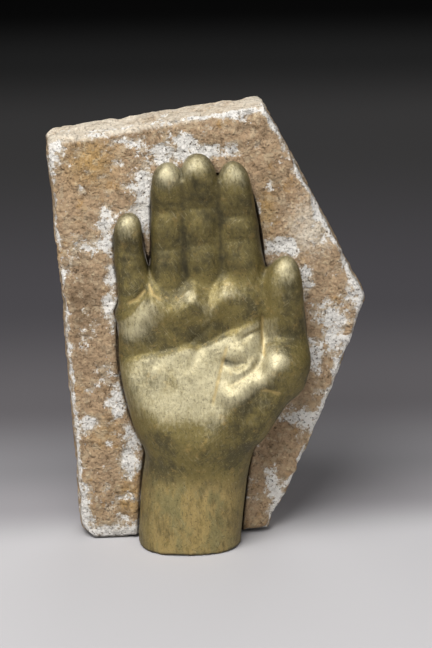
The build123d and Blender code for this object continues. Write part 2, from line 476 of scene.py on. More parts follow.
@dataclass(frozen=True)
class BronzeLustre(Finish):
    """Bronze-toned lustre fired on ceramic, rubbed by handling and dulled by a grey-green patina.

    It shines softly like old brass: pale where it is rubbed and where highlights are painted on, gold where
    it is scratched, and green-grey to almost black where dirt has stayed in the folds and where shade is
    painted on. Its hair scratches are drawn coarser than real.
    """

    name: str = "bronze_lustre_glaze"
    ground: str = "#776A3C"
    tints: tuple[Tint, ...] = (
        # Broad patina, and the brushed wrist, painted paler down its middle as a highlight
        Tint("#4E472C", Grain(20.0), 0.42, 0.62, 0.9),
        Tint("#A58A52", Grain(6.0, 5.0), 0.54, 0.72, 0.55),
        Tint("#B49C64", Grain(4.0, 5.0, 3.5, 3.0), 0.22, 0.62, 0.9, within=Field.BRUSHED_AND_HIGHLIT),
        Tint("#827B52", Grain(8.0, 4.0, 3.0, 2.0), 0.46, 0.62, 0.75, within=Field.BRUSHED_AND_HIGHLIT),
        # High spots painted pale: rubbed wear and painted highlights
        Tint(
            "#C3B996", Field.PALE_AND_HIGHLIGHT, 0.05, 0.95, 0.92,
            frays=((Grain(9.0, 5.0), 0.6), (Grain(1.6, 4.0, 4.0, 8.0), 0.9)),
        ),
        # Hair scratches, pale and dark
        Tint("#CFC4A0", Grain(0.9, 2.0, 14.0, 35.0), 0.58, 0.78, 0.3),
        Tint("#CFC4A0", Grain(0.9, 2.0, 12.0, -50.0), 0.60, 0.80, 0.3),
        Tint("#332D1A", Grain(0.9, 2.0, 14.0, 20.0), 0.44, 0.24, 0.3),
        Tint("#332D1A", Grain(2.0, 4.0, 4.0, 8.0), 0.46, 0.26, 0.5),
        # Spots
        Tint("#332D1A", Grain(1.3, 2.0), 0.54, 0.78, 0.45),
        Tint("#AC9D6E", Grain(1.1, 3.0), 0.56, 0.74, 0.4),
        Tint("#2A2616", Grain(1.7, 3.0), 0.44, 0.28, 0.5),
        # Dirt and painted shade in the folds and recesses, and golden grooves
        Tint("#2E2917", Field.SHADE_AND_DIRT, 0.0, 1.0, 0.85, frays=((Grain(5.0, 5.0), 0.5),)),
        Tint("#2C2815", Grain(3.5, 5.0, 2.5, 6.0), 0.48, 0.64, 0.9, within=Field.SHADE_AND_DIRT),
        Tint("#BFA56A", Field.GOLD, 0.15, 1.0, 0.5, frays=((Grain(2.0, 3.0), 0.7),)),
    )
    reliefs: Layers = (
        (Grain(9.0, 2.0), 0.6),
        (Grain(2.0, 4.0, 4.0, 8.0), 0.3),
        (Grain(1.3, 2.0), 0.14),
    )
    metallic: float = 0.5
    roughness: float = 0.54
    specular: float = 0.5


@dataclass(frozen=True)
class SlipCoat(Finish):
    """Earth-brown slip brushed over white plaster, dry and flaking.

    The slip is matte and gritty, pinkish to ochre, soiled in places and pale with dust along its upper
    side; where it has come off, chalk-white plaster shows, greyed by dirt and dotted with dark pits. Its
    grains carry painted highlights and painted shade, and the gap round the hand, the cleft by the fingers
    and the foot are painted dark as shade.
    """

    name: str = "slip_on_plaster"
    ground: str = "#B89C7C"
    tints: tuple[Tint, ...] = (
        # Broad tones of the slip
        Tint("#B69A7A", Grain(28.0), 0.4, 0.62),
        Tint("#7B664E", Field.SOIL, 0.1, 1.0, 0.75, frays=((Grain(7.0, 5.0), 1.0),)),
        Tint("#BE9A62", Field.OCHRE, 0.0, 1.0, 0.9),
        Tint("#B98F52", Grain(13.0, 5.0), 0.56, 0.70, 0.6),
        Tint("#7A644B", Grain(10.0, 5.0), 0.52, 0.68, 0.65),
        Tint("#C7AE8C", Grain(15.0, 5.0), 0.54, 0.70, 0.6),
        # Flakes and grit, with painted highlights and painted shade that follow the reliefs
        Tint("#7A654D", Flakes(2.6), 0.52, 0.80, 0.25),
        Tint("#CBBB9E", Flakes(3.4), 0.58, 0.84, 0.35),
        # Painted highlight on the raised parts of the 2.6 mm relief
        Tint("#DCC7A2", Grain(2.6, 5.0), 0.55, 0.70, 0.7),
        # Painted shade in the hollows of the 7 mm and 2.6 mm reliefs
        Tint("#5E4C38", Grain(7.0, 5.0), 0.42, 0.28, 0.55),
        Tint("#54442F", Grain(2.6, 5.0), 0.45, 0.30, 0.8),
        # Dust, then bare plaster with a thin rim of slip
        Tint("#EADFCC", Field.PALE_AND_HIGHLIGHT, 0.15, 0.95, 0.9, frays=((Grain(7.0, 5.0), 0.9), (Grain(1.8, 4.0), 0.9))),
        Tint("#CBBCA6", Field.BARE, 0.40, 0.66, 0.7, frays=((Grain(5.0, 5.0), 1.3), (Grain(1.2), 0.6))),
        Tint(
            "#F0ECE5", Field.BARE, 0.54, 0.82, 0.95,
            frays=((Flakes(2.2), 0.4), (Grain(3.0, 5.0), 1.7), (Grain(1.2), 1.1)),
        ),
        # Dirt, pits, and painted shade in the gap round the hand, in the cleft by the fingers and along the
        # foot
        Tint("#A8987C", Grain(8.0, 5.0), 0.52, 0.74, 0.45),
        Tint("#6A5F51", Grain(1.5, 3.0), 0.46, 0.33, 0.85, within=Field.BARE),
        Tint("#3C3228", Grain(1.5, 3.0), 0.40, 0.28, 0.85),
        Tint("#282018", Field.SHADE_AND_DIRT, 0.1, 0.9, 0.9, frays=((Grain(4.0, 3.0), 0.5),)),
    )
    reliefs: Layers = (
        (Grain(7.0, 5.0), 1.4),
        (Flakes(2.6, True), 0.6),
        (Flakes(6.0, True), 0.9),
        (Grain(2.6, 5.0), 1.5),
        (Grain(1.3, 3.0), 0.6),
    )


@dataclass(frozen=True)
class BarePlaster(Finish):
    """Bare casting plaster in the bedding joint: chalky and faintly grainy, painted grey-brown as the shade
    deep in the gap.
    """

    name: str = "bedding_plaster"
    # Painted shade: the plaster is painted dark, as it is seen only deep in the gap
    ground: str = "#8F867A"
    tints: tuple[Tint, ...] = (Tint("#4E453B", Grain(5.0), 0.4, 0.7),)
    reliefs: Layers = ((Grain(1.2), 0.3),)


@dataclass(frozen=True)
class StudioPaper(Finish):
    """Seamless studio paper, matte: pale under the object, then painted darker in steps to charcoal along the
    floor behind it, standing in for the fall of the light.
    """

    name: str = "seamless_paper"
    ground: str = "#B4B2B3"
    tints: tuple[Tint, ...] = (
        # Painted fall of light: darker steps along the run behind the object
        Tint("#928F91", Field.RUN, 0.2957, 0.3054),
        Tint("#828082", Field.RUN, 0.3054, 0.3159),
        Tint("#625F61", Field.RUN, 0.3159, 0.3334),
        Tint("#4C4A4D", Field.RUN, 0.3334, 0.3688),
        Tint("#3F3E3E", Field.RUN, 0.3688, 0.4434),
        Tint("#292929", Field.RUN, 0.4600, 0.5086),
        Tint("#101010", Field.RUN, 0.5086, 0.5555),
    )
    specular: float = 0.0


def make_piece(name: str, points: Array, faces: Array, fields: dict[Field, Array]) -> Object:
    """Makes a smooth mesh object at the origin.

    Args:
        name: the object's name.
        points: vertices in metres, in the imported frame.
        faces: quads of vertex numbers.
        fields: one value per vertex for each field of the finish.

    Returns:
        The new object, linked to the scene.
    """
    mesh = bpy.data.meshes.new(name)
    mesh.from_pydata(points, [], faces)
    mesh.polygons.foreach_set("use_smooth", np.ones(len(faces), dtype=bool))
    for key, values in fields.items():
        attribute = mesh.attributes.new(key.value, "FLOAT", "POINT")
        attribute.data.foreach_set("value", np.asarray(values, dtype=np.float32))
    piece = bpy.data.objects.new(name, mesh)
    bpy.context.scene.collection.objects.link(piece)
    log.info("%s: %d vertices, %d quads", name, len(points), len(faces))
    return piece


# Hand


@dataclass(frozen=True)
class Digit:
    """A finger or thumb that stands along z, in mm: its axis, its half-width, its domed tip and its creases.

    Across, forward and half-width are told by height. The pale patch on the tip, with its strength, drop
    and reach, is partly rubbed wear and partly a painted highlight.
    """

    across: Stations
    forward: Stations
    half_width: Stations
    tip: float
    dome: float
    creases: tuple[float, ...] = ()
    tip_wear_and_highlight: float = 0.85
    tip_patch_drop: float = 5.0
    tip_patch_reach: Point2 = (10.0, 9.5)
    squareness: float = 2.4
    crease_bow: float = 0.9
    crease_width: float = 2.0
    faint_rise: float = 4.4
    faint_width: float = 1.6
    faint_share: float = 0.5

    def field(self, x: Array, y: Array, z: Array) -> Array:
        """Round sections about the axis, with half an ellipsoid at the tip and half a ball at the root.

        Args:
            x, y, z: places in mm.

        Returns:
            Distance in mm, below zero inside.
        """
        shoulder = self.tip - self.dome
        root = self.half_width[0][0]
        level = np.minimum(z, shoulder)
        radius = curve_through(level, self.half_width)
        end = curve_through(np.array(shoulder), self.half_width)
        over = np.maximum(z - shoulder, 0.0) * (end / self.dome)
        dx = x - curve_through(z, self.across)
        dy = y - curve_through(z, self.forward)
        under = np.maximum(root - z, 0.0)
        around = (np.abs(dx) ** self.squareness + np.abs(dy) ** self.squareness) ** (1.0 / self.squareness)
        return np.sqrt(around * around + over * over + under * under) - radius

    def wrinkles(self, x: Array, z: Array) -> Array:
        """The creases across the front: a bowed main line, and a fainter one above it.

        Args:
            x, z: places in mm.

        Returns:
            Share of the full depth.
        """
        offset = x - curve_through(z, self.across)
        reach = curve_through(z, self.half_width)
        inside = smoothstep(np.abs(offset), reach, 0.55 * reach)
        bow = self.crease_bow * (offset / reach) ** 2
        total = np.zeros(np.broadcast(x, z).shape)
        for height in self.creases:
            main = np.exp(-(((z - height + bow) / self.crease_width) ** 2))
            faint = np.exp(-(((z - height - self.faint_rise + bow) / self.faint_width) ** 2))
            total = total + inside * (main + self.faint_share * faint)
        return total

    def worn_and_lit_tip(self) -> Patch:
        """The pale patch on the pad of the tip: rubbed wear and a painted highlight."""
        across = float(curve_through(np.array(self.tip), self.across))
        return Patch((across, self.tip - self.tip_patch_drop), self.tip_patch_reach, self.tip_wear_and_highlight)


PINKY = Digit(
    across=((150.0, -32.4), (170.0, -33.6), (178.0, -35.0), (187.0, -36.2), (196.0, -36.6), (210.0, -35.6)),
    forward=(
        (150.0, -4.0), (168.0, -3.2), (175.0, -2.4), (182.0, -3.2), (189.0, -2.6), (197.0, -5.4),
        (210.0, -7.4),
    ),
    half_width=((150.0, 9.8), (170.0, 10.0), (178.0, 9.5), (187.0, 8.7), (193.0, 8.7), (200.0, 8.0)),
    tip=210.0,
    dome=12.5,
    creases=(182.0,),
)
RING = Digit(
    across=((150.0, -12.6), (168.0, -12.9), (186.0, -13.1), (217.0, -13.7), (228.0, -13.5), (240.0, -12.8)),
    forward=(
        (150.0, -4.0), (168.0, -3.0), (178.0, -3.4), (188.0, -2.2), (199.0, -3.4), (211.0, -2.6),
        (218.0, -4.6), (226.0, -7.0), (240.0, -8.6),
    ),
    half_width=(
        (150.0, 10.4), (168.0, 10.6), (178.0, 10.1), (188.0, 9.5), (200.0, 9.7), (211.0, 9.1), (222.0, 9.3),
        (229.0, 8.7),
    ),
    tip=240.3,
    dome=12.5,
    creases=(188.5, 211.0),
)
MIDDLE = Digit(
    across=((150.0, 8.8), (168.0, 8.2), (186.0, 7.3), (216.0, 5.9), (235.0, 5.1), (245.0, 4.4)),
    forward=(
        (150.0, -4.0), (168.0, -3.0), (179.0, -3.6), (191.0, -2.2), (202.0, -3.6), (213.5, -2.6),
        (221.0, -5.0), (229.0, -7.4), (245.0, -9.0),
    ),
    half_width=(
        (150.0, 10.4), (168.0, 10.4), (180.0, 10.9), (191.0, 10.5), (202.0, 11.0), (213.5, 10.5),
        (225.0, 10.8), (233.0, 10.0),
    ),
    tip=245.2,
    dome=13.5,
    creases=(191.0, 213.5),
    tip_wear_and_highlight=0.6,
)
INDEX = Digit(
    across=((150.0, 32.6), (168.0, 31.7), (185.0, 30.5), (216.0, 27.7), (229.0, 26.2), (240.0, 25.0)),
    forward=(
        (150.0, -4.0), (168.0, -2.8), (180.0, -3.2), (193.0, -1.8), (200.0, -3.0), (208.0, -2.4),
        (216.0, -4.8), (225.0, -7.2), (240.0, -8.8),
    ),
    half_width=(
        (150.0, 13.0), (168.0, 13.0), (178.0, 12.9), (193.0, 12.0), (201.0, 11.7), (209.0, 10.9),
        (221.0, 10.0), (229.0, 8.8),
    ),
    tip=240.2,
    dome=13.5,
    creases=(193.5, 208.0),
)
THUMB = Digit(
    across=(
        (108.0, 54.5), (118.0, 56.4), (125.0, 56.8), (143.0, 55.9), (156.0, 55.3), (167.0, 55.0),
        (182.0, 56.4),
    ),
    forward=(
        (108.0, -11.5), (118.0, -11.6), (124.5, -10.8), (129.0, -8.0), (133.0, -6.2), (141.0, -6.2),
        (156.0, -8.6), (166.0, -10.4), (182.0, -12.6),
    ),
    half_width=(
        (108.0, 15.2), (118.0, 15.0), (126.0, 14.2), (138.0, 13.3), (148.0, 12.8), (158.0, 12.2),
        (166.0, 11.4),
    ),
    tip=182.9,
    dome=25.0,
)


@dataclass(frozen=True)
class Fold:
    """A groove along a line of the palm, or a ridge where its depth is below zero, in mm."""

    line: Stations
    depth: float
    width: float
    gold: float = 0.0
    rise: Point2 = (0.0, 0.18)
    fall: Point2 = (1.0, 0.82)

    def groove(self, x: Array, z: Array) -> Array:
        """Share of the full depth at places in mm: 1 along the line, fading out across it and at its ends."""
        gap, share = along_line(x, z, self.line)
        fade = smoothstep(share, *self.rise) * smoothstep(share, *self.fall)
        return np.exp(-((gap / self.width) ** 2)) * fade


PALM_FOLDS: dict[str, Fold] = {
    "heart_line": Fold(((-3.0, 130.8), (5.7, 137.0), (9.6, 141.5), (13.0, 147.0)), 1.1, 1.9),
    "head_start": Fold(((9.0, 133.0), (4.0, 127.4), (0.0, 120.5), (-3.0, 114.0)), 0.8, 2.8),
    "palm_valley": Fold(((21.0, 128.0), (15.0, 109.0), (9.0, 92.0), (5.0, 76.0)), 0.7, 8.0),
    "life_line": Fold(((22.0, 135.0), (19.0, 125.0), (14.5, 109.0), (10.6, 93.0)), 0.6, 1.2, gold=1.0),
    "pinky_root": Fold(((-39.0, 155.2), (-32.0, 159.2), (-25.6, 165.4)), 0.9, 1.2, gold=1.0),
    "web_top": Fold(((28.0, 133.4), (36.0, 137.3), (42.4, 138.4)), 1.7, 1.3),
    "web_pit": Fold(((17.0, 122.6), (25.8, 119.7), (33.0, 122.0)), 1.8, 2.4),
    "web_ridge": Fold(((41.0, 126.0), (31.8, 117.8), (23.0, 113.6)), -0.9, 2.2),
    "ball_fold": Fold(
        ((45.0, 124.6), (42.6, 122.2), (34.8, 115.9), (27.0, 110.9), (19.0, 106.6)), 1.0, 1.9, gold=0.45
    ),
    "ball_ridge": Fold(((54.0, 124.0), (42.0, 113.0), (29.0, 105.4), (14.0, 98.5)), -3.0, 5.6),
    "thumb_root": Fold(((42.4, 150.0), (42.4, 136.0), (42.8, 121.0)), 1.3, 1.3, gold=0.9),
    "ring_web": Fold(((-25.4, 169.0), (-22.6, 162.0), (-16.6, 158.0)), 0.3, 1.1, gold=0.8),
    "ball_scratch": Fold(((38.8, 105.6), (46.0, 104.9), (54.0, 102.4)), 0.25, 1.0, gold=0.9),
    "ball_nick": Fold(((40.0, 107.6), (47.0, 104.4), (52.6, 101.0)), 0.25, 1.0, gold=0.8),
}


@dataclass
class HandCasting:
    """The right hand with its wrist, palm to the viewer, sized in mm in the modelling frame.

    Left, right and back are reaches told by height. The crest line follows the fullest part of the heel,
    the ledge line the long crease, and the pad line the pads at the finger roots, each told by x.
    """

    step: float = 0.95
    low: Point3 = (-48.0, -40.0, -1.6)
    high: Point3 = (76.0, 16.0, 249.0)
    side_front: float = 4.0
    left: Stations = (
        (-30.0, 31.8), (0.0, 31.8), (27.0, 30.4), (40.0, 29.4), (50.0, 28.0), (57.0, 27.3), (63.0, 28.6),
        (70.0, 31.8), (78.0, 34.8), (90.0, 37.6), (100.0, 40.0), (118.0, 42.4), (143.0, 42.4),
        (160.0, 42.9), (175.0, 40.5),
    )
    right: Stations = (
        (-30.0, 30.4), (0.0, 30.4), (16.0, 31.8), (31.0, 33.3), (45.0, 35.0), (56.0, 37.2), (66.0, 40.4),
        (76.0, 45.0), (95.0, 50.0), (115.0, 49.5), (140.0, 46.0), (160.0, 44.8), (175.0, 41.0),
    )
    back: Stations = ((-30.0, 10.0), (54.0, 10.0), (98.0, 12.0), (140.0, 12.0), (160.0, 9.5), (176.0, 6.0))
    wrist_front: float = 30.4
    crest_front: float = 35.6
    neck_height: float = 50.0
    crest: Stations = (
        (-50.0, 112.0), (-38.0, 104.0), (-32.0, 96.0), (-24.0, 86.0), (-9.0, 76.0), (6.0, 74.0),
        (16.0, 84.0), (25.0, 95.0), (43.0, 109.0), (60.0, 118.0),
    )
    ledge: Stations = (
        (-50.0, 120.5), (-39.0, 122.2), (-28.0, 124.4), (-18.0, 126.4), (-9.0, 128.8), (-2.0, 130.6),
        (4.0, 130.2), (10.0, 132.0), (16.0, 135.2), (27.0, 140.4), (36.0, 144.8), (44.0, 148.0),
        (56.0, 151.0),
    )
    ledge_front: Stations = ((-42.0, 19.4), (0.0, 18.8), (20.0, 19.6), (44.0, 20.8))
    pad_line: Stations = (
        (-46.0, 143.0), (-41.0, 145.6), (-34.0, 151.4), (-28.5, 158.6), (-24.2, 164.2), (-19.5, 162.6),
        (-13.0, 160.0), (-7.0, 160.4), (-2.0, 163.6), (2.0, 165.6), (6.0, 163.6), (11.0, 161.4),
        (15.0, 164.0), (19.0, 168.0), (23.0, 168.8), (29.0, 167.8), (36.5, 166.2), (44.0, 164.0),
    )
    pad_front: Stations = (
        (-6.0, 7.0), (-3.0, 11.0), (0.0, 14.6), (3.5, 18.2), (7.0, 20.4), (10.5, 21.0), (15.0, 20.2),
        (22.0, 18.4), (32.0, 17.0), (46.0, 16.4),
    )
    pad_overlap: float = 5.0
    roundness: float = 2.5
    digits: tuple[Digit, ...] = (PINKY, RING, MIDDLE, INDEX, THUMB)
    crease_depth: float = 0.7
    mounds: tuple[Patch, ...] = (
        Patch((-14.0, 143.0), (9.0, 8.0), -1.0),
        Patch((-33.0, 138.0), (8.0, 10.0), 1.0),
        Patch((29.0, 128.5), (7.0, 4.5), 1.4),
        Patch((36.0, 140.5), (7.0, 3.2), 1.0),
        Patch((-4.0, 30.0), (3.2, 28.0), 0.5),
        Patch((9.0, 32.0), (3.0, 24.0), 0.4),
    )
    web_middle: float = 7.5
    web_half_width: float = 19.0
    web_front: Stations = ((160.0, 10.6), (200.0, 10.8), (215.0, 11.8), (230.0, 14.0))
    web_top: float = 229.0
    ball_foot: Point3 = (32.2, -15.0, 79.3)
    ball_head: Point3 = (54.5, -15.5, 117.0)
    ball_radius: float = 15.0
    ball_swell: float = 0.8
    core_wall: float = 10.0
    core_depth: float = 105.0
    rim_chip: float = 0.9
    # Pale patches on the palm, partly rubbed wear and partly painted highlights where it faces the light
    pale_patches: tuple[Patch, ...] = (
        Patch((-33.0, 139.0), (10.0, 12.0), 0.6),
        Patch((-24.5, 151.5), (8.0, 7.0), 0.9),
        Patch((-1.5, 162.0), (3.5, 4.0), 0.5),
        Patch((10.5, 149.0), (4.5, 8.0), 0.35),
        Patch((51.0, 122.5), (7.0, 5.0), 1.0),
        Patch((36.0, 113.0), (11.0, 5.0), 0.7),
        Patch((22.0, 163.0), (8.0, 4.5), 0.8),
        Patch((8.0, 88.0), (9.0, 10.0), 0.3),
    )
    # A darker, less pale patch below the middle fingertip
    tip_dark_patch: Patch = Patch((2.8, 228.0), (5.0, 6.5))
    thumb_shade: Patch = Patch((60.0, 148.0), (10.0, 22.0), 0.45)

    def front(self, x: Array, z: Array) -> Array:
        """How far the wrist and palm stand before the slab's face along their middle.

        Up to the crest line, which hangs like a sling between the balls of the thumb and the little
        finger, it swells out from the wrist. From the crest it falls back to the ledge line as the power 1.15
        of the share of that way. Above the ledge it follows the pads at the finger roots, told by the
        drop from the pad line. A steep blend across the ledge line joins the two.

        Args:
            x, z: places in mm.

        Returns:
            Distance towards the viewer, in mm.
        """
        crest, ledge = curve_through(x, self.crest), curve_through(x, self.ledge)
        swell = smoothstep((z - self.neck_height) / (crest - self.neck_height), -0.15, 1.0)
        heel = self.wrist_front + (self.crest_front - self.wrist_front) * swell
        share = np.maximum(z - crest, 0.0) / (ledge - crest)
        bowl = self.crest_front - (self.crest_front - curve_through(x, self.ledge_front)) * share**1.15
        lower = np.where(z < crest, heel, bowl)
        pads = curve_through(curve_through(x, self.pad_line) - z, self.pad_front)
        return pads + (lower - pads) * smoothstep(ledge - z, -2.2, 2.6)

    def relief(self, x: Array, z: Array) -> tuple[Array, Array]:
        """Height of mounds, folds and creases over the main form, and the golden grooves.

        Args:
            x, z: places in mm.

        Returns:
            Height in mm towards the viewer, and the share of gold in the grooves.
        """
        height = sum(mound.share(x, z) for mound in self.mounds)
        gold = np.zeros(np.broadcast(x, z).shape)
        for fold in PALM_FOLDS.values():
            groove = fold.groove(x, z)
            height = height - fold.depth * groove
            gold = np.maximum(gold, fold.gold * groove)
        for digit in self.digits:
            height = height - self.crease_depth * digit.wrinkles(x, z)
        return height, gold

    def form(self, x: Array, y: Array, z: Array) -> Array:
        """Distance field of the smooth hand without folds, standing through the table.

        The wrist and palm are superellipses at every height, from a left to a right reach and from the
        back to the front; the thumb's ball, the thumb and the fingers are joined to them with fillets.

        Args:
            x, y, z: places in mm.

        Returns:
            Distance in mm, below zero inside.
        """
        left, right = curve_through(z, self.left), curve_through(z, self.right)
        half = 0.5 * (left + right)
        across = np.abs(x - 0.5 * (right - left)) / half
        depth = y + self.side_front
        before = self.front(x, z) - self.side_front
        behind = curve_through(z, self.back) + self.side_front
        reach = np.where(depth < 0, before, behind)
        ratio = (across**self.roundness + (np.abs(depth) / reach) ** self.roundness) ** (1.0 / self.roundness)
        palm = (ratio - 1.0) * np.minimum(reach, half)
        palm = cut(palm, curve_through(x, self.pad_line) + self.pad_overlap - z, fillet=4.0)
        *fingers, thumb = [digit.field(x, y, z) for digit in self.digits]
        thumb = join(self.ball(x, y, z), thumb, fillet=4.0)
        body = join(palm, thumb, fillet=3.0)
        row = fingers[0]
        for finger in fingers[1:]:
            row = join(row, finger, fillet=3.2)
        row = join(row, self.web(x, y, z), fillet=3.0)
        return join(body, row, fillet=6.0)

    def web(self, x: Array, y: Array, z: Array) -> Array:
        """The clay that fills the grooves between the three long fingers: a plate behind their fronts."""
        sides = np.abs(x - self.web_middle) - self.web_half_width
        face = np.abs(y + self.side_front) - (curve_through(z, self.web_front) - self.side_front)
        return np.maximum(np.maximum(sides, face), z - self.web_top)

    def ball(self, x: Array, y: Array, z: Array) -> Array:
        """The ball of the thumb: a capsule that swells from the heel of the palm up to the thumb's root.

        Args:
            x, y, z: places in mm.

        Returns:
            Distance in mm, below zero inside.
        """
        foot = np.array(self.ball_foot)
        way = np.array(self.ball_head) - foot
        lines = list(zip((x, y, z), foot, way))
        share = np.clip(sum((axis - start) * run for axis, start, run in lines) / (way @ way), 0.0, 1.0)
        off = [axis - start - share * run for axis, start, run in lines]
        return np.sqrt(sum(part * part for part in off)) - (self.ball_radius + self.ball_swell * share)

    def core(self, x: Array, y: Array, z: Array) -> Array:
        """The hole that the casting core left up the wrist: a box with a wall of casting round it.

        Args:
            x, y, z: places in mm.

        Returns:
            Distance in mm, below zero inside.
        """
        front, back = self.wrist_front, curve_through(np.array(0.0), self.back)
        half_width = curve_through(np.array(0.0), self.left) - self.core_wall
        half_depth = 0.5 * (front + back) - self.core_wall
        dx = np.abs(x) - half_width
        dy = np.abs(y - 0.5 * (back - front)) - half_depth
        return np.maximum(np.maximum(dx, dy), z - self.core_depth)

    @staticmethod
    def facing(y: Array) -> Array:
        """How far places lie on the viewer's side: none 1 mm inside the slab, all 9 mm before its face."""
        return smoothstep(y, 1.0, -9.0)

    def build(self) -> Object:
        """Meshes the smooth form, warped towards the viewer by the relief and cut with a chipped rim.

        Returns:
            The hand, without its finish.
        """
        lattice = Lattice(self.low, self.high, self.step)
        x, y, z = lattice.axes()
        height, _ = self.relief(x, z)
        field = self.form(x, y + self.facing(y) * height, z)
        chip = self.rim_chip * smoothstep(GrainNoise(5).layered(x, y, 0.0 * z, 9.0, 3), 0.15, 0.5)
        field = cut(field, z - chip * smoothstep(field, -3.5, -0.5), fillet=2.0)
        points, faces = lattice.surface(cut(field, self.core(x, y, z), fillet=1.0))
        return make_piece("dressed_hand", Datum().place(points), faces, self.wear(points))

    @staticmethod
    def under_ball(x: Array, z: Array) -> Array:
        """How far places lie below the slanting ridge of the thumb's ball, where the painted highlight is
        weaker and painted shade is added.
        """
        return smoothstep(98.5 + 0.64 * (x - 14.0) - z, 3.0, 12.0) * smoothstep(x, 12.0, 24.0)

    def handled_and_highlit(self, x: Array, z: Array) -> Array:
        """How pale the palm is painted, as rubbed wear and painted highlight: along the top of its heel, in
        the listed patches and in a band along the pads.

        Args:
            x, z: places in mm.

        Returns:
            About 1 where the palm is painted pale, as rubbed wear and as painted highlight.
        """
        below_ledge = curve_through(x, self.ledge) - z
        below_pads = curve_through(x, self.pad_line) - z
        inset = x + curve_through(z, self.left)
        # Painted highlight along the top of the heel below the long crease, weaker under the thumb's ball and
        # at the left edge
        pale_and_highlight = 0.9 * smoothstep(below_ledge, 0.0, 4.0) * smoothstep(z, 78.0, 98.0) * smoothstep(x, 56.0, 40.0)
        pale_and_highlight = pale_and_highlight * (1.0 - 0.8 * self.under_ball(x, z)) * (0.4 + 0.6 * smoothstep(inset, 1.0, 14.0))
        # Patches of rubbed wear and painted highlight, then a faint pale band along the pads
        for patch in self.pale_patches:
            pale_and_highlight = pale_and_highlight + patch.share(x, z) * smoothstep(below_pads, -1.0, 1.2)
        return pale_and_highlight + 0.15 * smoothstep(below_pads, -2.0, 2.0) * smoothstep(below_pads, 13.0, 6.0)

    def wear(self, points: Array) -> dict[Field, Array]:
        """Fields of the finish at the hand's vertices.

        The dark share is dirt and painted shade in the grooves, and painted shade beside the slab, between
        the digits, under the thumb's ball, on the thumb and across the lower fingers, with a painted contact
        shadow along the foot.

        Args:
            points: vertices in mm.

        Returns:
            Pale (rubbed wear and painted highlight), dark (dirt and painted shade), golden and brushed (paler
            down the wrist's middle as a painted highlight) shares, each from 0 to 1.
        """
        x, y, z = points.T
        height, gold = self.relief(x, z)
        facing = self.facing(y)
        spots = GrainNoise(11).layered(x, y, z, 14.0, 3)
        # Fingertips painted pale, as rubbed wear and as painted highlight
        tips = sum(digit.worn_and_lit_tip().share(x, z) for digit in self.digits)
        dark_patch = self.tip_dark_patch.share(x, z)
        pale_and_highlight = (self.handled_and_highlit(x, z) + tips) * (1.0 - 0.9 * dark_patch)
        # Dark share: dirt and painted shade in the grooves, painted shade beside the slab and between the
        # digits
        shade_and_dirt = smoothstep(-height, 0.6, 2.2) + 0.5 * smoothstep(-y, 8.0, 2.0) + 0.5 * self.valley(x, y, z)
        # Painted shade under the thumb's ball, on the thumb and across the lower fingers; a darker patch
        # below the middle fingertip; a painted contact shadow along the foot
        shade_and_dirt = shade_and_dirt + 0.1 * self.under_ball(x, z) * smoothstep(z, 60.0, 72.0)
        shade_and_dirt = shade_and_dirt + self.thumb_shade.share(x, z)
        shade_and_dirt = shade_and_dirt + 0.52 * smoothstep(z, 168.0, 178.0) * (1.0 - np.minimum(tips, 1.0))
        shade_and_dirt = shade_and_dirt + 0.5 * dark_patch + 0.9 * smoothstep(z, 2.8, 0.8)
        return {
            Field.PALE_AND_HIGHLIGHT: np.clip(facing * pale_and_highlight * (0.75 + 0.5 * spots), 0.0, 1.0),
            Field.SHADE_AND_DIRT: np.clip(shade_and_dirt * (0.8 + 0.5 * spots), 0.0, 1.0),
            Field.GOLD: np.clip(facing * gold, 0.0, 1.0),
            # Brushed wrist, strongest down its middle as a painted highlight
            Field.BRUSHED_AND_HIGHLIT: smoothstep(z, 56.0, 36.0) * smoothstep(np.abs(x), 42.0, 14.0),
        }

    def valley(self, x: Array, y: Array, z: Array) -> Array:
        """How deep places lie between two neighbouring digits: 1 where both are equally near."""
        near = np.sort(np.stack([digit.field(x, y, z) for digit in self.digits]), axis=0)
        return smoothstep(near[1] - near[0], 4.5, 0.5) * smoothstep(near[1], 6.0, 1.0)

    def dress(self) -> Object:
        """Builds the hand and gives it its finish."""
        piece = self.build()
        piece.data.materials.append(BronzeLustre().material())
        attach(piece, "root")
        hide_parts("cast_hand")
        return piece


# Slab


